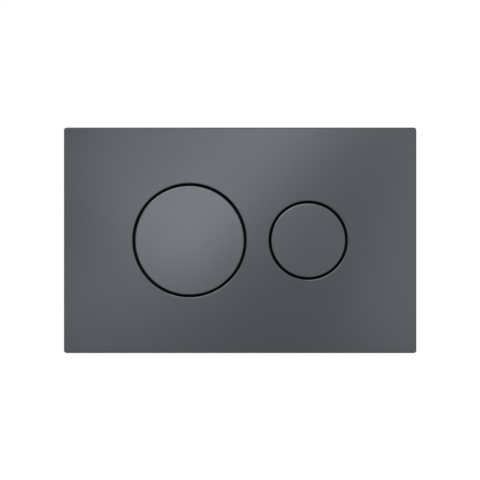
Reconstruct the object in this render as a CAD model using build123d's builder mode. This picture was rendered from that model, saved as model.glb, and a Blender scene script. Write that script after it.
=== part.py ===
"""Dual flush plate for a concealed cistern: a metal cover with two round spring-return buttons.

The origin is on the wall, behind the middle of the cover. X runs to the right and Z upwards, as the user
sees the plate, and Y runs into the wall. A depth is measured from the wall towards the user, so a point at
depth d lies at y = -d, and what reaches into the cistern opening has a negative depth. Sizes are in mm.
"""

import math
import os

from build123d import *

# Cover
plate_width = 250.0
plate_height = 160.0
plate_depth = 12.0  # from the wall to the front face
plate_wall = 2.0
plate_corner_radius = 2.0
plate_edge_chamfer = 0.8
hole_edge_chamfer = 0.5
rim_gap = 0.5  # from the wall to the rim of the skirt

# Buttons
full_diameter = 77.4
half_diameter = 52.6
button_gap = 1.6  # all round, between a button and its hole
hole_web = 16.0  # cover left between the two holes
button_travel = 5.0
stop_clearance = 0.2  # left at the end of the travel
cap_face = 2.0
cap_wall = 1.6
cap_skirt = 5.0  # from the face to the rim
cap_edge_chamfer = 0.5

# Sliders, one behind each cap
slider_arm = 2.0  # thickness of the four arms
slider_clearance = 0.2  # inside the skirt of the cap
spring_seat_margin = 0.5  # of the arms, beside the spring
hub_radius = 6.0
hub_overhang = 2.0  # behind the floor of the carrier
leg_count = 4
leg_width = 8.0
leg_thickness = 1.8
leg_inset = 6.0  # from the end of an arm to the outside of a leg
leg_clearance = 0.4  # round a leg in its window
leg_flex_room = 1.6  # inside a leg, so that it can bend to snap in
barb_reach = 1.2
barb_length = 3.0

# Carrier, the tray behind the cover that guides both buttons
carrier_room = 2.0  # between a hole and the inside of the tray
carrier_wall = 1.8
carrier_corner_radius = 3.0
floor_thickness = 2.0
guide_wall = 1.8
guide_clearance = 0.25  # between a hub and its guide tube
rib_height = 2.0  # of the ribs behind the floor
rib_thickness = 1.6
rib_start = 3.0  # from a guide tube

# Return springs, closed at both ends
spring_length = 12.0
spring_wire = 1.0
spring_clearance = 0.5  # outside the guide tube
active_turns = 3
closed_turns = 1  # at each end
closed_pitch_ratio = 1.05  # of the wire, so that the closed turns just part
sections_per_turn = 12
wire_sides = 4

# Push rods, screwed into the hubs and locked by a nut
thread_radius = 3.0
thread_clearance = 0.05
rod_engagement = 13.0  # inside the hub
rod_thread_length = 34.0
rod_tip_radius = 2.5
rod_tip_length = 40.0
nut_flats = 10.0
nut_thickness = 5.0

# Screws that hold the carrier to the bosses of the cover
boss_inset = 5.0  # from the walls of the carrier
boss_radius = 3.4
screw_radius = 1.4
screw_clearance = 0.05  # in the pilot hole of a boss
screw_floor_clearance = 0.3
screw_flats = 5.5
screw_head_height = 2.0
screw_length = 10.0  # under the head
pilot_bottom_gap = 0.5  # past the point of a screw

# Mounting frame, open at the back like a channel
frame_clearance = 4.0  # inside the skirt of the cover
frame_depth = 6.0
frame_corner_radius = 4.0
frame_wall = 2.0
frame_web = 2.0  # the front wall of the channel
window_clearance = 4.0  # round the carrier
window_corner_radius = 6.0
pocket_count = 10  # along the upper and the lower member
pocket_rib = 1.6
clip_pocket_steps = 3.5  # pockets from the middle of the frame to a clip

# Fixing screws, which hold the frame to the cistern
fixing_slot_length = 14.0
fixing_slot_width = 6.8
fixing_pad_height = 36.0
fixing_pad_thickness = 2.5
fixing_neck_radius = 2.65
fixing_neck_length = 6.5  # under the head
fixing_thread_length = 70.0
fixing_flats = 10.0
fixing_head_height = 3.0
washer_size = 18.0
washer_thickness = 1.0
washer_bore_radius = 3.2

# Spring clips in the frame, which grip blades on the back of the cover
clip_sheet = 0.6
clip_width = 9.0
clip_base_height = 14.0
clip_grip = 0.1  # between a blade and an arm
clip_lip = 0.8  # flare at the mouth
clip_window_clearance = 0.4
clip_tip_clearance = 0.8  # to the back of the cover
blade_width = 11.0
blade_thickness = 2.0
blade_entry = 1.0  # past the front of the frame

# Depths that follow from those sizes
face_back = plate_depth - plate_wall
cap_back = plate_depth - cap_face
arm_back = cap_back - slider_arm
floor_front = arm_back - spring_length
floor_back = floor_front - floor_thickness
rib_back = floor_back - rib_height
guide_top = arm_back - button_travel - stop_clearance
hub_back = floor_back - hub_overhang
nut_back = hub_back - nut_thickness
web_back = frame_depth - frame_web
washer_front = fixing_pad_thickness + washer_thickness

# Widths, radii and places that follow from them
hole_group_width = full_diameter + half_diameter + 4 * button_gap + hole_web
full_x = full_diameter / 2 + button_gap - hole_group_width / 2
half_x = hole_group_width / 2 - half_diameter / 2 - button_gap
tray_width = hole_group_width + 2 * carrier_room
tray_height = max(full_diameter, half_diameter) + 2 * (button_gap + carrier_room)
carrier_width = tray_width + 2 * carrier_wall
carrier_height = tray_height + 2 * carrier_wall
boss_spacing_x = tray_width - 2 * boss_inset
boss_spacing_z = tray_height - 2 * boss_inset
guide_radius = hub_radius + guide_clearance
guide_outer_radius = guide_radius + guide_wall
rib_inside = guide_outer_radius + rib_start
screw_room = 1.6 * boss_inset  # clear of ribs round a screw, past the corner of the tray
coil_radius = guide_outer_radius + spring_clearance + spring_wire / 2
arm_width = 2 * coil_radius + spring_wire + 2 * spring_seat_margin
frame_width = plate_width - 2 * (plate_wall + frame_clearance)
frame_height = plate_height - 2 * (plate_wall + frame_clearance)
window_width = carrier_width + 2 * window_clearance
window_height = carrier_height + 2 * window_clearance
member_height = (frame_height - window_height) / 2
side_width = (frame_width - window_width) / 2
side_x = (window_width + frame_width) / 4
fixing_spacing = 2 * side_x
pocket_pitch = (frame_width - 2 * frame_wall + pocket_rib) / pocket_count
clip_x = clip_pocket_steps * pocket_pitch
clip_z = (window_height + frame_height) / 4

BUTTONS = {"full_flush": (full_x, full_diameter), "half_flush": (half_x, half_diameter)}


def arm_reach(diameter):
    """The end of a slider's arm, from the axis of its button."""
    return diameter / 2 - cap_wall - slider_clearance


def leg_radius(diameter):
    """The outside of a snap leg, from the axis of its button."""
    return arm_reach(diameter) - leg_inset


def hexagon_radius(flats):
    return flats / math.sqrt(3)


def wall_plane(depth, x=0.0, z=0.0):
    """A plane parallel to the wall that faces the user."""
    return Plane(origin=(x, -depth, z), x_dir=(1, 0, 0), z_dir=(0, -1, 0))


def axial_plane(x, angle=0.0):
    """A plane through the axis of a button: its x runs outwards at this angle, its y towards the user."""
    turn = math.radians(angle)
    return Plane(
        origin=(x, 0, 0),
        x_dir=(math.cos(turn), 0, math.sin(turn)),
        z_dir=(math.sin(turn), 0, -math.cos(turn)),
    )


def make_front_plate():
    """The cover: a shallow tray with a skirt, two button holes, screw bosses and blades for the clips."""
    with BuildPart() as plate:
        with BuildSketch(wall_plane(rim_gap)):
            RectangleRounded(plate_width, plate_height, plate_corner_radius)
        extrude(amount=plate_depth - rim_gap)
        with BuildSketch(wall_plane(rim_gap)):
            Rectangle(plate_width - 2 * plate_wall, plate_height - 2 * plate_wall)
        extrude(amount=face_back - rim_gap, mode=Mode.SUBTRACT)
        with BuildSketch(wall_plane(face_back)):
            for x, diameter in BUTTONS.values():
                with Locations((x, 0)):
                    Circle(diameter / 2 + button_gap)
        extrude(amount=plate_wall, mode=Mode.SUBTRACT)
        front_face = plate.faces().sort_by(Axis.Y)[0]
        chamfer(front_face.outer_wire().edges(), plate_edge_chamfer)
        front_face = plate.faces().sort_by(Axis.Y)[0]
        chamfer(front_face.inner_wires().edges(), hole_edge_chamfer)
        with BuildSketch(wall_plane(floor_front)):
            with GridLocations(boss_spacing_x, boss_spacing_z, 2, 2):
                Circle(boss_radius)
        extrude(amount=face_back - floor_front)
        with BuildSketch(wall_plane(floor_front)):
            with GridLocations(boss_spacing_x, boss_spacing_z, 2, 2):
                Circle(screw_radius + screw_clearance)
        extrude(amount=screw_length - floor_thickness + pilot_bottom_gap, mode=Mode.SUBTRACT)
        with BuildSketch(wall_plane(frame_depth - blade_entry)):
            with GridLocations(2 * clip_x, 2 * clip_z, 2, 2):
                Rectangle(blade_width, blade_thickness)
        extrude(amount=face_back + blade_entry - frame_depth)
    return plate.part


def make_cap(x, diameter):
    """A button face: a flat disc with a short skirt and a broken edge."""
    radius = diameter / 2
    rim = plate_depth - cap_skirt
    with BuildPart() as cap:
        with BuildSketch(wall_plane(rim, x)):
            Circle(radius)
        extrude(amount=cap_skirt)
        chamfer(cap.faces().sort_by(Axis.Y)[0].edges(), cap_edge_chamfer)
        with BuildSketch(wall_plane(rim, x)):
            Circle(radius - cap_wall)
        extrude(amount=cap_back - rim, mode=Mode.SUBTRACT)
    return cap.part


def make_slider(x, diameter):
    """The body behind a cap: crossed arms, a threaded hub for the push rod, and snap legs that hold it in."""
    reach = arm_reach(diameter)
    leg = leg_radius(diameter)
    with BuildPart() as slider:
        with BuildSketch(wall_plane(arm_back, x)):
            Rectangle(2 * reach, arm_width)
            Rectangle(arm_width, 2 * reach)
            Circle(reach, mode=Mode.INTERSECT)
        extrude(amount=slider_arm)
        with BuildSketch(wall_plane(hub_back, x)):
            Circle(hub_radius)
        extrude(amount=arm_back - hub_back)
        for step in range(leg_count):
            with BuildSketch(axial_plane(x, step * 360 / leg_count)):
                with BuildLine():
                    Polyline(
                        (leg - leg_thickness, arm_back),
                        (leg, arm_back),
                        (leg, floor_back),
                        (leg + barb_reach, floor_back),
                        (leg, floor_back - barb_length),
                        (leg - leg_thickness, floor_back - barb_length),
                        close=True,
                    )
                make_face()
            extrude(amount=leg_width / 2, both=True)
        with BuildSketch(wall_plane(hub_back, x)):
            Circle(thread_radius + thread_clearance)
        extrude(amount=rod_engagement + pilot_bottom_gap, mode=Mode.SUBTRACT)
    return slider.part


def make_button_carrier():
    """The tray screwed behind the cover: guide tubes, windows for the snap legs, and ribs at the back."""
    with BuildPart() as carrier:
        with BuildSketch(wall_plane(rib_back)):
            RectangleRounded(carrier_width, carrier_height, carrier_corner_radius)
        extrude(amount=face_back - rib_back)
        for start, end in ((floor_front, face_back), (rib_back, floor_back)):
            with BuildSketch(wall_plane(start)):
                Rectangle(tray_width, tray_height)
            extrude(amount=end - start, mode=Mode.SUBTRACT)
        with BuildSketch(wall_plane(rib_back)):
            for x in (full_x, half_x):
                with Locations((x, 0)):
                    with PolarLocations(rib_inside + tray_width / 2, leg_count, 180 / leg_count):
                        Rectangle(tray_width, rib_thickness)
            Rectangle(tray_width, tray_height, mode=Mode.INTERSECT)
            with GridLocations(boss_spacing_x, boss_spacing_z, 2, 2):
                Circle(screw_room, mode=Mode.SUBTRACT)
        extrude(amount=rib_height)
        for x, diameter in BUTTONS.values():
            leg = leg_radius(diameter)
            window_inside = leg - leg_thickness - leg_flex_room
            window_outside = leg + leg_clearance
            with BuildSketch(wall_plane(floor_front, x)):
                Circle(guide_outer_radius)
            extrude(amount=guide_top - floor_front)
            with BuildSketch(wall_plane(floor_back, x)):
                Circle(guide_radius)
            extrude(amount=guide_top - floor_back, mode=Mode.SUBTRACT)
            with BuildSketch(wall_plane(floor_back, x)):
                with PolarLocations((window_inside + window_outside) / 2, leg_count):
                    Rectangle(window_outside - window_inside, leg_width + 2 * leg_clearance)
            extrude(amount=floor_thickness, mode=Mode.SUBTRACT)
        with BuildSketch(wall_plane(floor_back)):
            with GridLocations(boss_spacing_x, boss_spacing_z, 2, 2):
                Circle(screw_radius + screw_floor_clearance)
        extrude(amount=floor_thickness, mode=Mode.SUBTRACT)
    return carrier.part


def make_carrier_screws():
    """Self-tapping hexagon-head screws, put in from behind the carrier."""
    with BuildPart() as screws:
        with BuildSketch(wall_plane(floor_back)):
            with GridLocations(boss_spacing_x, boss_spacing_z, 2, 2):
                Circle(screw_radius)
        extrude(amount=screw_length)
        with BuildSketch(wall_plane(floor_back)):
            with GridLocations(boss_spacing_x, boss_spacing_z, 2, 2):
                RegularPolygon(hexagon_radius(screw_flats), side_count=6)
        extrude(amount=-screw_head_height)
    return screws.part


def coil_height(turn):
    """How far the wire has risen from the floor of the carrier after this many turns."""
    closed_pitch = closed_pitch_ratio * spring_wire
    active_rise = spring_length - spring_wire - 2 * closed_turns * closed_pitch
    active_done = min(max(turn - closed_turns, 0), active_turns)
    closed_done = min(turn, closed_turns) + max(turn - closed_turns - active_turns, 0)
    return spring_wire / 2 + closed_pitch * closed_done + active_rise * active_done / active_turns


def make_spring(x):
    """A coil spring round a guide tube, from the floor of the carrier to the arms of the slider."""
    total_turns = active_turns + 2 * closed_turns
    half_step = 0.5 / sections_per_turn
    with BuildPart() as spring:
        for section in range(total_turns * sections_per_turn + 1):
            turn = section / sections_per_turn
            angle = 2 * math.pi * turn
            ahead = min(turn + half_step, total_turns)
            behind = max(turn - half_step, 0)
            slope = (coil_height(ahead) - coil_height(behind)) / (ahead - behind)
            outwards = Vector(math.cos(angle), 0, math.sin(angle))
            along = Vector(-math.sin(angle), -slope / (2 * math.pi * coil_radius), math.cos(angle))
            middle = Vector(x, -floor_front - coil_height(turn), 0) + outwards * coil_radius
            with BuildSketch(Plane(origin=middle, x_dir=outwards, z_dir=along)):
                RegularPolygon(spring_wire / 2, side_count=wire_sides)
        loft(ruled=True)
    return spring.part


def make_push_rod(x):
    """A rod with a thread that screws into the hub and a plain end that works the flush valve."""
    rod_front = hub_back + rod_engagement
    thread_end = rod_front - rod_thread_length
    with BuildPart() as rod:
        with BuildSketch(wall_plane(thread_end, x)):
            Circle(thread_radius)
        extrude(amount=rod_thread_length)
        with BuildSketch(wall_plane(thread_end, x)):
            Circle(rod_tip_radius)
        extrude(amount=-rod_tip_length)
    return rod.part


def make_lock_nut(x):
    """A hexagon nut that locks the push rod against the hub."""
    with BuildPart() as nut:
        with BuildSketch(wall_plane(nut_back, x)):
            RegularPolygon(hexagon_radius(nut_flats), side_count=6)
            Circle(thread_radius + thread_clearance, mode=Mode.SUBTRACT)
        extrude(amount=nut_thickness)
    return nut.part


def make_mounting_frame():
    """The frame on the wall: a channel open at the back, ribbed, with slotted pads for the fixing screws."""
    side_pocket_height = (window_height - fixing_pad_height) / 2
    side_pocket_pitch = (side_width - 2 * frame_wall + pocket_rib) / 2
    with BuildPart() as frame:
        with BuildSketch(wall_plane(0)):
            RectangleRounded(frame_width, frame_height, frame_corner_radius)
            RectangleRounded(window_width, window_height, window_corner_radius, mode=Mode.SUBTRACT)
        extrude(amount=frame_depth)
        with BuildSketch(wall_plane(0)):
            with GridLocations(pocket_pitch, 2 * clip_z, pocket_count, 2):
                Rectangle(pocket_pitch - pocket_rib, member_height - 2 * frame_wall)
            with GridLocations(2 * side_x, side_pocket_height + fixing_pad_height, 2, 2):
                with GridLocations(side_pocket_pitch, 0, 2, 1):
                    Rectangle(side_pocket_pitch - pocket_rib, side_pocket_height - pocket_rib)
        extrude(amount=web_back, mode=Mode.SUBTRACT)
        with BuildSketch(wall_plane(fixing_pad_thickness)):
            with GridLocations(2 * side_x, 0, 2, 1):
                Rectangle(side_width - 2 * frame_wall, fixing_pad_height - 2 * pocket_rib)
        extrude(amount=frame_depth - fixing_pad_thickness, mode=Mode.SUBTRACT)
        with BuildSketch(wall_plane(0)):
            with GridLocations(fixing_spacing, 0, 2, 1):
                SlotOverall(fixing_slot_length, fixing_slot_width)
        extrude(amount=fixing_pad_thickness, mode=Mode.SUBTRACT)
        with BuildSketch(wall_plane(web_back)):
            with GridLocations(2 * clip_x, 2 * clip_z, 2, 2):
                Rectangle(
                    max(clip_width, blade_width) + 2 * clip_window_clearance,
                    blade_thickness + 2 * (clip_grip + clip_sheet + clip_window_clearance),
                )
        extrude(amount=frame_web, mode=Mode.SUBTRACT)
    return frame.part


def make_clip(x, z):
    """A clip of spring sheet: a base behind the web of the frame and two arms that grip a blade."""
    arm_inside = blade_thickness / 2 + clip_grip
    clip_top = face_back - clip_tip_clearance
    with BuildPart() as clip:
        with BuildSketch(wall_plane(web_back - clip_sheet, x, z)):
            Rectangle(clip_width, clip_base_height)
        extrude(amount=clip_sheet)
        with BuildSketch(Plane(origin=(x, 0, z), x_dir=(0, 0, 1), z_dir=(1, 0, 0))):
            with BuildLine():
                Polyline(
                    (arm_inside, web_back),
                    (arm_inside + clip_sheet, web_back),
                    (arm_inside + clip_sheet, clip_top - clip_lip),
                    (arm_inside + clip_sheet + clip_lip, clip_top),
                    (arm_inside + clip_lip, clip_top),
                    (arm_inside, clip_top - clip_lip),
                    close=True,
                )
            make_face()
            mirror(about=Plane.YZ)
        extrude(amount=clip_width / 2, both=True)
    return clip.part


def make_fixing_screws():
    """Two long hexagon-head screws that go through the slots of the frame into the cistern."""
    neck_end = washer_front - fixing_neck_length
    with BuildPart() as screws:
        with BuildSketch(wall_plane(neck_end)):
            with GridLocations(fixing_spacing, 0, 2, 1):
                Circle(fixing_neck_radius)
        extrude(amount=fixing_neck_length)
        with BuildSketch(wall_plane(neck_end)):
            with GridLocations(fixing_spacing, 0, 2, 1):
                Circle(thread_radius)
        extrude(amount=-fixing_thread_length)
        with BuildSketch(wall_plane(washer_front)):
            with GridLocations(fixing_spacing, 0, 2, 1):
                RegularPolygon(hexagon_radius(fixing_flats), side_count=6)
        extrude(amount=fixing_head_height)
    return screws.part


def make_fixing_washers():
    """A square washer under the head of each fixing screw."""
    with BuildPart() as washers:
        with BuildSketch(wall_plane(fixing_pad_thickness)):
            with GridLocations(fixing_spacing, 0, 2, 1):
                Rectangle(washer_size, washer_size)
                Circle(washer_bore_radius, mode=Mode.SUBTRACT)
        extrude(amount=washer_thickness)
    return washers.part


def make_all():
    """Every piece of the flush plate, by name."""
    pieces = {
        "front_plate": make_front_plate(),
        "button_carrier": make_button_carrier(),
        "carrier_screws": make_carrier_screws(),
        "mounting_frame": make_mounting_frame(),
        "fixing_screws": make_fixing_screws(),
        "fixing_washers": make_fixing_washers(),
    }
    for level, z in (("upper", clip_z), ("lower", -clip_z)):
        for side, x in (("left", -clip_x), ("right", clip_x)):
            pieces[f"clip_{level}_{side}"] = make_clip(x, z)
    for button, (x, diameter) in BUTTONS.items():
        pieces[f"{button}_cap"] = make_cap(x, diameter)
        pieces[f"{button}_slider"] = make_slider(x, diameter)
        pieces[f"{button}_spring"] = make_spring(x)
        pieces[f"{button}_push_rod"] = make_push_rod(x)
        pieces[f"{button}_lock_nut"] = make_lock_nut(x)
    return pieces


os.makedirs("parts", exist_ok=True)
for name, piece in make_all().items():
    piece.label = name
    export_step(piece, f"parts/{name}.step")
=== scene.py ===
"""Looks of the dual flush plate: finishes, softened edges, threads, wire springs, light and camera.

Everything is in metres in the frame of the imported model: X to the right and Z upwards as the user sees the
plate, Y into the wall.
"""

import math
from typing import NamedTuple

import bpy
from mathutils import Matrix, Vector


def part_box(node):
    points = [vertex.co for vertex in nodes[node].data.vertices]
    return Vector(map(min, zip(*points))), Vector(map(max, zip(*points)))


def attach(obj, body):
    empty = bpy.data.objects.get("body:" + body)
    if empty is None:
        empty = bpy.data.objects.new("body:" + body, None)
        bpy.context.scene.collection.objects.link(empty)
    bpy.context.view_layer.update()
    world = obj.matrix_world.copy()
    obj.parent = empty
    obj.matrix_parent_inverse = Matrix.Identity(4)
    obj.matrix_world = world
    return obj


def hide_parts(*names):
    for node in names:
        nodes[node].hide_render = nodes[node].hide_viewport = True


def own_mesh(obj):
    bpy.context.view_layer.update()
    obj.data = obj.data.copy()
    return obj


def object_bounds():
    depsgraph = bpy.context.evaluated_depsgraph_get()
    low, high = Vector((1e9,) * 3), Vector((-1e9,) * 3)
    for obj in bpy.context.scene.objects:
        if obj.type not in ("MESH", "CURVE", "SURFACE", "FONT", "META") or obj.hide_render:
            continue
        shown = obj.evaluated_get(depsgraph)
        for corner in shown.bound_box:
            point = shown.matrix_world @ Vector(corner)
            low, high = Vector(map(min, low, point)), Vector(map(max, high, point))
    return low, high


class Thread(NamedTuple):
    """Sizes of a screw thread."""

    radius: float
    pitch: float
    depth: float


MM = 0.001
WHITE = (1.0, 1.0, 1.0, 1.0)
BUTTONS = ("full_flush", "half_flush")
CLIPS = ("clip_upper_left", "clip_upper_right", "clip_lower_left", "clip_lower_right")

# Photograph
IMAGE_SIZE = 480
PIXELS_PER_METRE = 1410.5
PLATE_OFFSET = (0.15, 0.3)  # pixels to the right and down, of the plate from the middle of the picture
LENS = 135.0
SENSOR = 36.0

# Textures
NOISE_RANGE = (0.3, 0.7)  # where most values of a noise lie
TONE_RANGE = (0.2, 0.8)  # the values of a noise at which a tone is darkest and lightest

# Edges of the CAD nodes
JOIN_DISTANCE = 0.0005 * MM
FLAT_ANGLE = math.radians(0.5)  # faces that turn less than this against each other become one
SHARP_ANGLE = math.radians(28)
RIM = 4.0 * MM  # the band along the outline in which the edges are rounded less
RIM_SHARE = 0.3
FRONT_ROUNDING = 0.34 * MM  # of the edges that are seen from the front
FRONT_SEGMENTS = 4  # across such an edge
HIDDEN_SEGMENTS = 2

# Turned pieces
COLUMNS = 24  # round a piece
TURNED_SHARP_ANGLE = math.radians(32)
HEAD_CHAMFER = math.tan(math.radians(30))  # the depth of a head's chamfer for its width

# Threads
MACHINE_THREAD = Thread(radius=3.0 * MM, pitch=1.0 * MM, depth=0.5 * MM)
TAPPING_THREAD = Thread(radius=1.4 * MM, pitch=1.25 * MM, depth=0.35 * MM)
THREAD_ROWS = 8  # along one pitch
THREAD_CUT = 0.15  # what is cut off the sharp profile at its crest and at its root, for a depth of 1

# Fixing screws
FIXING_FLATS = 10.0 * MM
FIXING_LAND = 0.47 * FIXING_FLATS  # the radius of the flat end of the head
FIXING_HEAD = 3.0 * MM
FIXING_NECK = 6.5 * MM
FIXING_NECK_RADIUS = 2.65 * MM
FIXING_NECK_TAPER = 0.35 * MM
FIXING_RUN_OUT = 1.5 * MM
FIXING_POINT = 0.8 * MM
FIXING_POINT_RADIUS = 2.3 * MM

# Carrier screws
CARRIER_FLATS = 5.5 * MM
CARRIER_LAND = 0.46 * CARRIER_FLATS
CARRIER_HEAD = 2.0 * MM
CARRIER_DIMPLE = 0.25 * MM
CARRIER_DIMPLE_RADIUS = 0.6 * CARRIER_LAND
CARRIER_DIMPLE_FLOOR = 0.52 * CARRIER_LAND
CARRIER_SHANK = 0.6 * MM
CARRIER_RUN_OUT = 1.0 * MM
CARRIER_POINT = 1.2 * MM
CARRIER_POINT_RADIUS = 0.5 * MM

# Lock nuts
NUT_LAND_SHARE = 0.46  # of the flats
NUT_BORE_RADIUS = 3.05 * MM
NUT_MOUTH_RADIUS = 3.5 * MM
NUT_MOUTH_DEPTH = 0.45 * MM

# Push rods
ROD_THREADED_LENGTH = 34.0 * MM
ROD_FRONT_RADIUS = 2.2 * MM
ROD_FRONT_CHAMFER = 0.8 * MM
ROD_RUN_OUT = 1.2 * MM
ROD_SHOULDER = 1.0 * MM
ROD_RADIUS = 2.5 * MM
ROD_TIP_RADIUS = 2.0 * MM
ROD_TIP_CHAMFER = 0.7 * MM

# Springs
SPRING_TURNS = 5
CLOSED_TURNS = 1
CLOSED_PITCH = 1.05 * MM
SPRING_WIRE = 1.0 * MM
SPRING_STEPS = 40  # along one turn
SLOPE_SPAN = 0.1  # turns to each side over which the slope of the wire is taken
WIRE_SIDES = 12

# Studio
FILL_COLOUR = (0.97, 0.985, 1.0, 1.0)
FLOOR_COLOUR = (0.9, 0.9, 0.9, 1.0)
FLOOR_REACH = 8.0

# Sockets of a compare node
NUMBER_A, NUMBER_B = 0, 1
VECTOR_A, VECTOR_B = 4, 5


def srgb(red, green, blue):
    """A colour given as it looks on a screen, from 0 to 255, as the shader's linear values."""
    def linear(value):
        value /= 255
        return value / 12.92 if value <= 0.04045 else ((value + 0.055) / 1.055) ** 2.4
    return (linear(red), linear(green), linear(blue), 1.0)


def shade(colour, factor):
    """A colour made darker or lighter."""
    return (colour[0] * factor, colour[1] * factor, colour[2] * factor, 1.0)


class Surface:
    """A material on a Principled shader, with helpers that add textures in the object's own coordinates."""

    def __init__(self, name, metallic=0.0, specular=0.5):
        self.material = bpy.data.materials.new(name)
        self.material.use_nodes = True
        self.tree = self.material.node_tree
        self.shader = self.tree.nodes["Principled BSDF"]
        self.shader.inputs["Metallic"].default_value = metallic
        self.shader.inputs["Specular IOR Level"].default_value = specular
        self.place = self.tree.nodes.new("ShaderNodeTexCoord").outputs["Object"]

    def noise(self, scale, detail, stretch=None):
        """A cloudy texture, which the stretch may draw out along an axis."""
        texture = self.tree.nodes.new("ShaderNodeTexNoise")
        texture.inputs["Scale"].default_value = scale
        texture.inputs["Detail"].default_value = detail
        source = self.place
        if stretch:
            mapping = self.tree.nodes.new("ShaderNodeMapping")
            mapping.inputs["Scale"].default_value = stretch
            self.tree.links.new(source, mapping.inputs["Vector"])
            source = mapping.outputs["Vector"]
        self.tree.links.new(source, texture.inputs["Vector"])
        return texture.outputs["Fac"]

    def tone(self, value, colour, low, high):
        """Varies the base colour between two shades of it."""
        ramp = self.tree.nodes.new("ShaderNodeValToRGB")
        for stop, position, factor in zip(ramp.color_ramp.elements, TONE_RANGE, (low, high)):
            stop.position = position
            stop.color = shade(colour, factor)
        self.tree.links.new(value, ramp.inputs["Fac"])
        self.tree.links.new(ramp.outputs["Color"], self.shader.inputs["Base Color"])

    def roughness(self, value, low, high):
        """Varies the gloss."""
        ramp = self.tree.nodes.new("ShaderNodeMapRange")
        ramp.clamp = False
        ramp.inputs["From Min"].default_value, ramp.inputs["From Max"].default_value = NOISE_RANGE
        ramp.inputs["To Min"].default_value = low
        ramp.inputs["To Max"].default_value = high
        self.tree.links.new(value, ramp.inputs["Value"])
        self.tree.links.new(ramp.outputs["Result"], self.shader.inputs["Roughness"])

    def bump(self, value, height, strength):
        """Gives the surface a fine grain."""
        bump = self.tree.nodes.new("ShaderNodeBump")
        bump.inputs["Strength"].default_value = strength
        bump.inputs["Distance"].default_value = height
        self.tree.links.new(value, bump.inputs["Height"])
        self.tree.links.new(bump.outputs["Normal"], self.shader.inputs["Normal"])


def satin_coat(name, colour, rough):
    """Satin metallic coat: a cloudy tone, a fine sprayed grain and a little unevenness in the gloss."""
    surface = Surface(name, metallic=0.9)
    surface.tone(surface.noise(scale=14.0, detail=1.0), colour, low=0.985, high=1.015)
    surface.roughness(surface.noise(scale=40.0, detail=1.0), low=rough - 0.006, high=rough + 0.006)
    surface.bump(surface.noise(scale=2600.0, detail=3.0), height=0.004 * MM, strength=0.5)
    return surface.material


def moulded_plastic(name, colour, rough, specular=0.5):
    """Injection-moulded plastic: faint flow marks in the tone and an eroded tool texture."""
    surface = Surface(name, specular=specular)
    surface.tone(surface.noise(scale=35.0, detail=4.0), colour, low=0.9, high=1.08)
    surface.roughness(surface.noise(scale=160.0, detail=3.0), low=rough - 0.06, high=rough + 0.06)
    surface.bump(surface.noise(scale=1800.0, detail=4.0), height=0.012 * MM, strength=0.6)
    return surface.material


def rod_plastic(name, colour):
    """Extruded rod stock: fine draw lines along the rod."""
    surface = Surface(name)
    surface.tone(surface.noise(scale=40.0, detail=3.0), colour, low=0.94, high=1.03)
    lines = surface.noise(scale=2200.0, detail=2.0, stretch=(1.0, 0.03, 1.0))
    surface.roughness(lines, low=0.36, high=0.5)
    surface.bump(lines, height=0.006 * MM, strength=0.5)
    return surface.material


def plated_steel(name, colour):
    """Zinc-plated steel: a mottled crystal tone with fine scratches."""
    surface = Surface(name, metallic=1.0)
    surface.tone(surface.noise(scale=420.0, detail=5.0), colour, low=0.82, high=1.12)
    surface.roughness(surface.noise(scale=260.0, detail=4.0), low=0.26, high=0.46)
    surface.bump(surface.noise(scale=1500.0, detail=3.0), height=0.004 * MM, strength=0.4)
    return surface.material


def clean_shading_group(corner):
    """Joins an imported node's split corners, smooths it between its sharp edges and weighs those edges.

    At any depth, an edge weighs less in the rim of the plate, whose outline ends at the corner.
    """
    tree = bpy.data.node_groups.new("clean_shading", "GeometryNodeTree")
    link = tree.links.new
    tree.interface.new_socket("Geometry", in_out="INPUT", socket_type="NodeSocketGeometry")
    tree.interface.new_socket("Geometry", in_out="OUTPUT", socket_type="NodeSocketGeometry")
    start = tree.nodes.new("NodeGroupInput")
    end = tree.nodes.new("NodeGroupOutput")

    merge = tree.nodes.new("GeometryNodeMergeByDistance")
    merge.inputs["Distance"].default_value = JOIN_DISTANCE
    link(start.outputs["Geometry"], merge.inputs["Geometry"])

    angle = tree.nodes.new("GeometryNodeInputMeshEdgeAngle")
    sharp = tree.nodes.new("FunctionNodeCompare")
    sharp.inputs[NUMBER_B].default_value = SHARP_ANGLE
    link(angle.outputs["Unsigned Angle"], sharp.inputs[NUMBER_A])
    normals = tree.nodes.new("GeometryNodeSetMeshNormal")
    normals.inputs["Remove Custom"].default_value = True
    link(merge.outputs["Geometry"], normals.inputs["Mesh"])
    link(sharp.outputs["Result"], normals.inputs["Edge Sharpness"])

    place = tree.nodes.new("GeometryNodeInputPosition")
    distance = tree.nodes.new("ShaderNodeVectorMath")
    distance.operation = "ABSOLUTE"
    link(place.outputs["Position"], distance.inputs[0])
    inside = tree.nodes.new("FunctionNodeCompare")
    inside.data_type = "VECTOR"
    inside.mode = "ELEMENT"
    inside.operation = "LESS_THAN"
    inside.inputs[VECTOR_B].default_value = (corner.x - RIM, corner.y + RIM, corner.z - RIM)
    link(distance.outputs["Vector"], inside.inputs[VECTOR_A])

    share = tree.nodes.new("GeometryNodeSwitch")
    share.input_type = "FLOAT"
    share.inputs["False"].default_value = RIM_SHARE
    share.inputs["True"].default_value = 1.0
    link(inside.outputs["Result"], share.inputs["Switch"])
    weight = tree.nodes.new("GeometryNodeSwitch")
    weight.input_type = "FLOAT"
    link(sharp.outputs["Result"], weight.inputs["Switch"])
    link(share.outputs["Output"], weight.inputs["True"])

    store = tree.nodes.new("GeometryNodeStoreNamedAttribute")
    store.domain = "EDGE"
    store.inputs["Name"].default_value = "bevel_weight_edge"
    link(normals.outputs["Mesh"], store.inputs["Geometry"])
    link(weight.outputs["Output"], store.inputs["Value"])
    link(store.outputs["Geometry"], end.inputs["Geometry"])
    return tree


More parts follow.
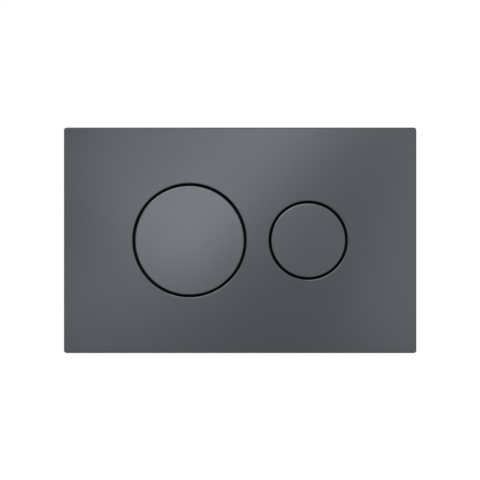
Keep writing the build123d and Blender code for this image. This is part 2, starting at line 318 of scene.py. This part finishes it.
def soften(piece, clean_shading, material, width, segments=HIDDEN_SEGMENTS):
    """Gives a CAD node its material, and rounds its edges with modifiers."""
    piece.data.materials.clear()
    piece.data.materials.append(material)
    clean = piece.modifiers.new("clean_shading", "NODES")
    clean.node_group = clean_shading
    merge = piece.modifiers.new("flat_faces", "DECIMATE")
    merge.decimate_type = "DISSOLVE"
    merge.angle_limit = FLAT_ANGLE
    bevel = piece.modifiers.new("soft_edges", "BEVEL")
    bevel.width = width
    bevel.segments = segments
    bevel.limit_method = "WEIGHT"
    bevel.harden_normals = True
    bevel.use_clamp_overlap = False
    bevel.loop_slide = False


def add_piece(name, form, node, material, body):
    """A mesh, given as vertices and faces, that stands for a CAD node."""
    vertices, faces = form
    mesh = bpy.data.meshes.new(name)
    mesh.from_pydata(vertices, [], faces)
    mesh.validate()
    mesh.polygons.foreach_set("use_smooth", [True] * len(mesh.polygons))
    mesh.set_sharp_from_angle(angle=TURNED_SHARP_ANGLE)
    mesh.materials.append(material)
    piece = bpy.data.objects.new(name, mesh)
    bpy.context.scene.collection.objects.link(piece)
    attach(piece, body)
    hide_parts(node)
    return piece


def corner_radius(flats):
    """How far a hexagon's corners lie from its middle."""
    return flats / math.sqrt(3)


def hexagon_radius(flats, column):
    """How far a hexagon's edge lies from its middle towards a column, with a corner on the first one."""
    turn = (column * 360 / COLUMNS) % 60 - 30
    return flats / 2 / math.cos(math.radians(turn))


def circle_ring(y, radius):
    """A round edge of a turned piece: for each column its y and its distance from the axis."""
    return [(y, radius)] * COLUMNS


def hexagon_ring(y, flats):
    """A hexagonal edge."""
    return [(y, hexagon_radius(flats, column)) for column in range(COLUMNS)]


def chamfered_ring(y, flats, land, side):
    """Where a hexagon's sides meet its turned chamfer; side is 1 if the piece lies at higher y, else -1."""
    ring = []
    for column in range(COLUMNS):
        radius = hexagon_radius(flats, column)
        ring.append((y + side * (radius - land) * HEAD_CHAMFER, radius))
    return ring


def thread_rings(thread, start, end, run_out):
    """Rings of a thread from start to end, which fades out over a run-out at each end."""
    slope = 2 * (1 + 2 * THREAD_CUT)
    count = round((end - start) / thread.pitch * THREAD_ROWS)
    rings = []
    for row in range(count + 1):
        y = start + (end - start) * row / count
        fade = max(0.0, min(1.0, (y - start) / run_out, (end - y) / run_out))
        ring = []
        for column in range(COLUMNS):
            phase = (y / thread.pitch - column / COLUMNS) % 1.0
            groove = min(1.0, max(0.0, slope * abs(phase - 0.5) - THREAD_CUT))
            ring.append((y, thread.radius - thread.depth * groove * fade))
        rings.append(ring)
    return rings


def turned(centre, rings, closed=False):
    """Vertices and faces of a piece turned about a line along Y: rings, capped or joined in a loop."""
    vertices = []
    for ring in rings:
        for column, (y, radius) in enumerate(ring):
            angle = 2 * math.pi * column / COLUMNS
            x = centre[0] + radius * math.cos(angle)
            z = centre[1] + radius * math.sin(angle)
            vertices.append((x, y, z))
    faces = []
    rows = len(rings)
    for row in range(rows if closed else rows - 1):
        here = row * COLUMNS
        there = (row + 1) % rows * COLUMNS
        for column in range(COLUMNS):
            beside = (column + 1) % COLUMNS
            faces.append((here + column, there + column, there + beside, here + beside))
    if not closed:
        faces.append(tuple(range(COLUMNS)))
        faces.append(tuple(reversed(range((rows - 1) * COLUMNS, rows * COLUMNS))))
    return vertices, faces


def joined(forms):
    """Several sets of vertices and faces as one."""
    vertices, faces = [], []
    for form_vertices, form_faces in forms:
        offset = len(vertices)
        vertices.extend(form_vertices)
        faces.extend(tuple(index + offset for index in face) for face in form_faces)
    return vertices, faces


def fixing_screw(x, low, high):
    """A hexagon-head screw with a neck and a long thread."""
    head_back = low.y + FIXING_HEAD
    neck_end = head_back + FIXING_NECK
    rings = [
        circle_ring(low.y, FIXING_LAND),
        chamfered_ring(low.y, FIXING_FLATS, FIXING_LAND, side=1),
        hexagon_ring(head_back, FIXING_FLATS),
        circle_ring(head_back, FIXING_NECK_RADIUS),
        circle_ring(neck_end - FIXING_NECK_TAPER, FIXING_NECK_RADIUS),
    ]
    rings += thread_rings(MACHINE_THREAD, neck_end, high.y - FIXING_POINT, FIXING_RUN_OUT)
    rings.append(circle_ring(high.y, FIXING_POINT_RADIUS))
    return turned((x, (low.z + high.z) / 2), rings)


def make_fixing_screws(material):
    """The two screws that hold the frame, one at each end."""
    node = "fixing_screws"
    low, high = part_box(node)
    reach = corner_radius(FIXING_FLATS)
    screws = [fixing_screw(x, low, high) for x in (low.x + reach, high.x - reach)]
    add_piece(node + "_threaded", joined(screws), node, material, "plate_assembly")


def carrier_screw(centre, low, high):
    """A self-tapping screw, put in from behind, with a dimple in its hexagon head."""
    head_front = high.y - CARRIER_HEAD
    thread_start = low.y + CARRIER_POINT
    thread_end = head_front - CARRIER_SHANK
    rings = [circle_ring(low.y, CARRIER_POINT_RADIUS)]
    rings += thread_rings(TAPPING_THREAD, thread_start, thread_end, CARRIER_RUN_OUT)
    rings += [
        circle_ring(head_front, TAPPING_THREAD.radius),
        hexagon_ring(head_front, CARRIER_FLATS),
        chamfered_ring(high.y, CARRIER_FLATS, CARRIER_LAND, side=-1),
        circle_ring(high.y, CARRIER_LAND),
        circle_ring(high.y, CARRIER_DIMPLE_RADIUS),
        circle_ring(high.y - CARRIER_DIMPLE, CARRIER_DIMPLE_FLOOR),
    ]
    return turned(centre, rings)


def make_carrier_screws(material):
    """The four screws that hold the carrier, one near each corner."""
    node = "carrier_screws"
    low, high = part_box(node)
    reach_x = corner_radius(CARRIER_FLATS)
    reach_z = CARRIER_FLATS / 2
    screws = []
    for x in (low.x + reach_x, high.x - reach_x):
        for z in (low.z + reach_z, high.z - reach_z):
            screws.append(carrier_screw((x, z), low, high))
    add_piece(node + "_threaded", joined(screws), node, material, "plate_assembly")


def make_lock_nut(button, material):
    """A hexagon nut, chamfered at both ends."""
    node = button + "_lock_nut"
    low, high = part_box(node)
    flats = high.z - low.z
    land = NUT_LAND_SHARE * flats
    rings = [
        circle_ring(low.y + NUT_MOUTH_DEPTH, NUT_BORE_RADIUS),
        circle_ring(low.y, NUT_MOUTH_RADIUS),
        circle_ring(low.y, land),
        chamfered_ring(low.y, flats, land, side=1),
        chamfered_ring(high.y, flats, land, side=-1),
        circle_ring(high.y, land),
        circle_ring(high.y, NUT_MOUTH_RADIUS),
        circle_ring(high.y - NUT_MOUTH_DEPTH, NUT_BORE_RADIUS),
    ]
    centre = ((low.x + high.x) / 2, (low.z + high.z) / 2)
    nut = turned(centre, rings, closed=True)
    add_piece(node + "_chamfered", nut, node, material, button + "_button")


def make_push_rod(button, material):
    """A rod with a threaded front part and a thinner plain tip."""
    node = button + "_push_rod"
    low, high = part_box(node)
    shoulder = low.y + ROD_THREADED_LENGTH
    thread_start = low.y + ROD_FRONT_CHAMFER
    thread_end = shoulder - ROD_SHOULDER
    rings = [circle_ring(low.y, ROD_FRONT_RADIUS)]
    rings += thread_rings(MACHINE_THREAD, thread_start, thread_end, ROD_RUN_OUT)
    rings += [
        circle_ring(shoulder, MACHINE_THREAD.radius),
        circle_ring(shoulder, ROD_RADIUS),
        circle_ring(high.y - ROD_TIP_CHAMFER, ROD_RADIUS),
        circle_ring(high.y, ROD_TIP_RADIUS),
    ]
    centre = ((low.x + high.x) / 2, (low.z + high.z) / 2)
    rod = turned(centre, rings)
    add_piece(node + "_threaded", rod, node, material, button + "_button")


def coil_height(turn, length):
    """How far the wire's middle lies from the spring's fixed end after this many turns."""
    active = SPRING_TURNS - 2 * CLOSED_TURNS
    rise = length - SPRING_WIRE - 2 * CLOSED_TURNS * CLOSED_PITCH
    active_done = min(max(turn - CLOSED_TURNS, 0), active)
    closed_done = min(turn, CLOSED_TURNS) + max(turn - CLOSED_TURNS - active, 0)
    return SPRING_WIRE / 2 + CLOSED_PITCH * closed_done + rise * active_done / active


def wire_coil(end, length, radius):
    """Vertices and faces of a coil of round wire that reaches from its fixed end towards the front."""
    vertices = []
    steps = SPRING_TURNS * SPRING_STEPS
    for step in range(steps + 1):
        turn = step / SPRING_STEPS
        angle = 2 * math.pi * turn
        behind = max(turn - SLOPE_SPAN, 0)
        ahead = min(turn + SLOPE_SPAN, SPRING_TURNS)
        slope = (coil_height(ahead, length) - coil_height(behind, length)) / (ahead - behind)
        outwards = Vector((math.cos(angle), 0, math.sin(angle)))
        along = Vector((-math.sin(angle), -slope / (2 * math.pi * radius), math.cos(angle))).normalized()
        across = along.cross(outwards)
        middle = Vector((end.x, end.y - coil_height(turn, length), end.z)) + outwards * radius
        for side in range(WIRE_SIDES):
            wire = 2 * math.pi * side / WIRE_SIDES
            offset = outwards * math.cos(wire) + across * math.sin(wire)
            vertices.append(middle + offset * (SPRING_WIRE / 2))
    faces = []
    for step in range(steps):
        here = step * WIRE_SIDES
        there = here + WIRE_SIDES
        for side in range(WIRE_SIDES):
            beside = (side + 1) % WIRE_SIDES
            faces.append((here + side, here + beside, there + beside, there + side))
    faces.append(tuple(reversed(range(WIRE_SIDES))))
    faces.append(tuple(range(steps * WIRE_SIDES, (steps + 1) * WIRE_SIDES)))
    return vertices, faces


def make_spring(button, material):
    """A return spring, coiled from round wire to the length of its node."""
    node = button + "_spring"
    low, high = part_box(node)
    length = high.y - low.y
    end = Vector(((low.x + high.x) / 2, high.y, (low.z + high.z) / 2))
    coil = wire_coil(end, length, radius=(high.x - low.x - SPRING_WIRE) / 2)
    piece = add_piece(node + "_wire", coil, node, material, "plate_assembly")
    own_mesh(piece)


def camera_rays(tree):
    """1 where the camera sees a surface straight, or in metal or glass."""
    path = tree.nodes.new("ShaderNodeLightPath")
    total = path.outputs["Is Camera Ray"]
    for ray in ("Is Glossy Ray", "Is Transmission Ray"):
        either = tree.nodes.new("ShaderNodeMath")
        either.operation = "MAXIMUM"
        tree.links.new(total, either.inputs[0])
        tree.links.new(path.outputs[ray], either.inputs[1])
        total = either.outputs["Value"]
    return total


def make_world(fill):
    """White where the camera looks, and a soft fill light everywhere else."""
    world = bpy.data.worlds.new("studio")
    bpy.context.scene.world = world
    world.use_nodes = True
    tree = world.node_tree
    tree.nodes.clear()
    white = tree.nodes.new("ShaderNodeBackground")
    white.inputs["Color"].default_value = WHITE
    soft = tree.nodes.new("ShaderNodeBackground")
    soft.inputs["Color"].default_value = FILL_COLOUR
    soft.inputs["Strength"].default_value = fill
    mix = tree.nodes.new("ShaderNodeMixShader")
    output = tree.nodes.new("ShaderNodeOutputWorld")
    tree.links.new(camera_rays(tree), mix.inputs["Fac"])
    tree.links.new(soft.outputs["Background"], mix.inputs[1])
    tree.links.new(white.outputs["Background"], mix.inputs[2])
    tree.links.new(mix.outputs["Shader"], output.inputs["Surface"])


def pale_floor(near, far):
    """A pale surface that turns into the white background between two distances from the middle."""
    material = bpy.data.materials.new("pale_floor")
    material.use_nodes = True
    tree = material.node_tree
    tree.nodes.clear()
    pale = tree.nodes.new("ShaderNodeBsdfDiffuse")
    pale.inputs["Color"].default_value = FLOOR_COLOUR
    white = tree.nodes.new("ShaderNodeEmission")
    white.inputs["Color"].default_value = WHITE
    place = tree.nodes.new("ShaderNodeTexCoord")
    distance = tree.nodes.new("ShaderNodeVectorMath")
    distance.operation = "LENGTH"
    fade = tree.nodes.new("ShaderNodeMapRange")
    fade.interpolation_type = "SMOOTHSTEP"
    fade.inputs["From Min"].default_value = near
    fade.inputs["From Max"].default_value = far
    seen = tree.nodes.new("ShaderNodeMath")
    seen.operation = "MULTIPLY"
    mix = tree.nodes.new("ShaderNodeMixShader")
    output = tree.nodes.new("ShaderNodeOutputMaterial")
    tree.links.new(place.outputs["Object"], distance.inputs[0])
    tree.links.new(distance.outputs["Value"], fade.inputs["Value"])
    tree.links.new(fade.outputs["Result"], seen.inputs[0])
    tree.links.new(camera_rays(tree), seen.inputs[1])
    tree.links.new(seen.outputs["Value"], mix.inputs["Fac"])
    tree.links.new(pale.outputs["BSDF"], mix.inputs[1])
    tree.links.new(white.outputs["Emission"], mix.inputs[2])
    tree.links.new(mix.outputs["Shader"], output.inputs["Surface"])
    return material


def make_floor(height, material):
    """A floor that keeps the shadow under the plate."""
    mesh = bpy.data.meshes.new("floor")
    directions = ((-1, -1), (1, -1), (1, 1), (-1, 1))
    corners = [(x * FLOOR_REACH, y * FLOOR_REACH, height) for x, y in directions]
    mesh.from_pydata(corners, [], [(0, 1, 2, 3)])
    mesh.materials.append(material)
    floor = bpy.data.objects.new("floor", mesh)
    bpy.context.scene.collection.objects.link(floor)


def add_light(name, place, size, power, target=None, roll=0.0):
    """A soft box that isn't seen itself; it faces the target or, where none is given, the wall squarely."""
    lamp = bpy.data.lights.new(name, "AREA")
    lamp.shape = "RECTANGLE"
    lamp.size, lamp.size_y = size
    lamp.energy = power
    light = bpy.data.objects.new(name, lamp)
    bpy.context.scene.collection.objects.link(light)
    light.location = place
    facing = Vector(target or (place[0], 0.0, place[2])) - Vector(place)
    light.rotation_euler = facing.to_track_quat("-Z", "Y").to_euler()
    light.rotation_euler.rotate_axis("Z", math.radians(roll))
    light.visible_camera = False


def make_camera(front):
    """Square to the plate, at the photograph's scale."""
    camera = bpy.data.cameras.new("camera")
    camera.lens = LENS
    camera.sensor_width = SENSOR
    view = bpy.data.objects.new("camera", camera)
    bpy.context.scene.collection.objects.link(view)
    distance = IMAGE_SIZE / PIXELS_PER_METRE * LENS / SENSOR
    right, down = (pixels / PIXELS_PER_METRE for pixels in PLATE_OFFSET)
    view.location = (-right, front - distance, down)
    view.rotation_euler = (math.radians(90), 0, 0)
    bpy.context.scene.camera = view


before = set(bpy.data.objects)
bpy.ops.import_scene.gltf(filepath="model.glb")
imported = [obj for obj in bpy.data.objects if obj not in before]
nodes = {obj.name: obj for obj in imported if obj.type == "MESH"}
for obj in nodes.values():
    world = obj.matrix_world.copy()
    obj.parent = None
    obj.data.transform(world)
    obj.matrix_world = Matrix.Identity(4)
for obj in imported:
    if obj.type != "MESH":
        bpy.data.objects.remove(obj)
cad_low, cad_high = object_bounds()
bpy.context.scene.view_settings.view_transform = "Standard"

# Finishes
cover_coat = satin_coat("cover_coat", srgb(68, 71, 75), rough=0.25)
button_coat = satin_coat("button_coat", srgb(74, 77, 81), rough=0.235)
carrier_black = moulded_plastic("carrier_black", srgb(50, 50, 52), rough=0.6, specular=0.1)
slider_black = moulded_plastic("slider_black", srgb(46, 46, 48), rough=0.5, specular=0.1)
nut_black = moulded_plastic("nut_black", srgb(52, 52, 54), rough=0.45)
frame_grey = moulded_plastic("frame_grey", srgb(196, 198, 198), rough=0.5)
washer_grey = moulded_plastic("washer_grey", srgb(128, 130, 132), rough=0.5)
rod_white = rod_plastic("rod_white", srgb(225, 225, 221))
steel = plated_steel("plated_steel", srgb(168, 170, 172))
spring_steel = plated_steel("spring_steel", srgb(128, 131, 136))

# Pieces
clean_shading = clean_shading_group(cad_high)
soften(nodes["front_plate"], clean_shading, cover_coat, FRONT_ROUNDING, FRONT_SEGMENTS)
soften(nodes["button_carrier"], clean_shading, carrier_black, width=0.12 * MM)
soften(nodes["mounting_frame"], clean_shading, frame_grey, width=0.25 * MM)
soften(nodes["fixing_washers"], clean_shading, washer_grey, width=0.15 * MM)
for clip in CLIPS:
    soften(nodes[clip], clean_shading, spring_steel, width=0.12 * MM)
for button in BUTTONS:
    soften(nodes[button + "_cap"], clean_shading, button_coat, FRONT_ROUNDING, FRONT_SEGMENTS)
    soften(nodes[button + "_slider"], clean_shading, slider_black, width=0.2 * MM)
    make_spring(button, spring_steel)
    make_push_rod(button, rod_white)
    make_lock_nut(button, nut_black)
make_fixing_screws(steel)
make_carrier_screws(steel)

# Light and camera
make_world(fill=0.2)
make_floor(height=-0.3, material=pale_floor(near=0.45, far=0.95))
middle = (0.0, cad_low.y, 0.0)
add_light("key", place=(0.005, -0.89, 0.097), size=(0.076, 0.6), power=0.41, roll=-47.0)
add_light("near_key", place=(-0.017, -0.232, 0.111), size=(0.15, 0.256), power=0.093, roll=-38.0)
add_light("right_strip", place=(0.257, -0.336, 0.172), size=(0.13, 0.6), power=0.228, roll=-20.5)
add_light("top", place=(-0.35, -0.7, 0.65), size=(1.2, 0.4), power=10.0, target=middle)
add_light("rear_left", place=(-1.1, 1.3, 0.7), size=(2.4, 2.4), power=22.0, target=middle)
add_light("rear_right", place=(1.3, 1.2, 0.5), size=(2.4, 2.4), power=18.0, target=middle)
make_camera(cad_low.y)
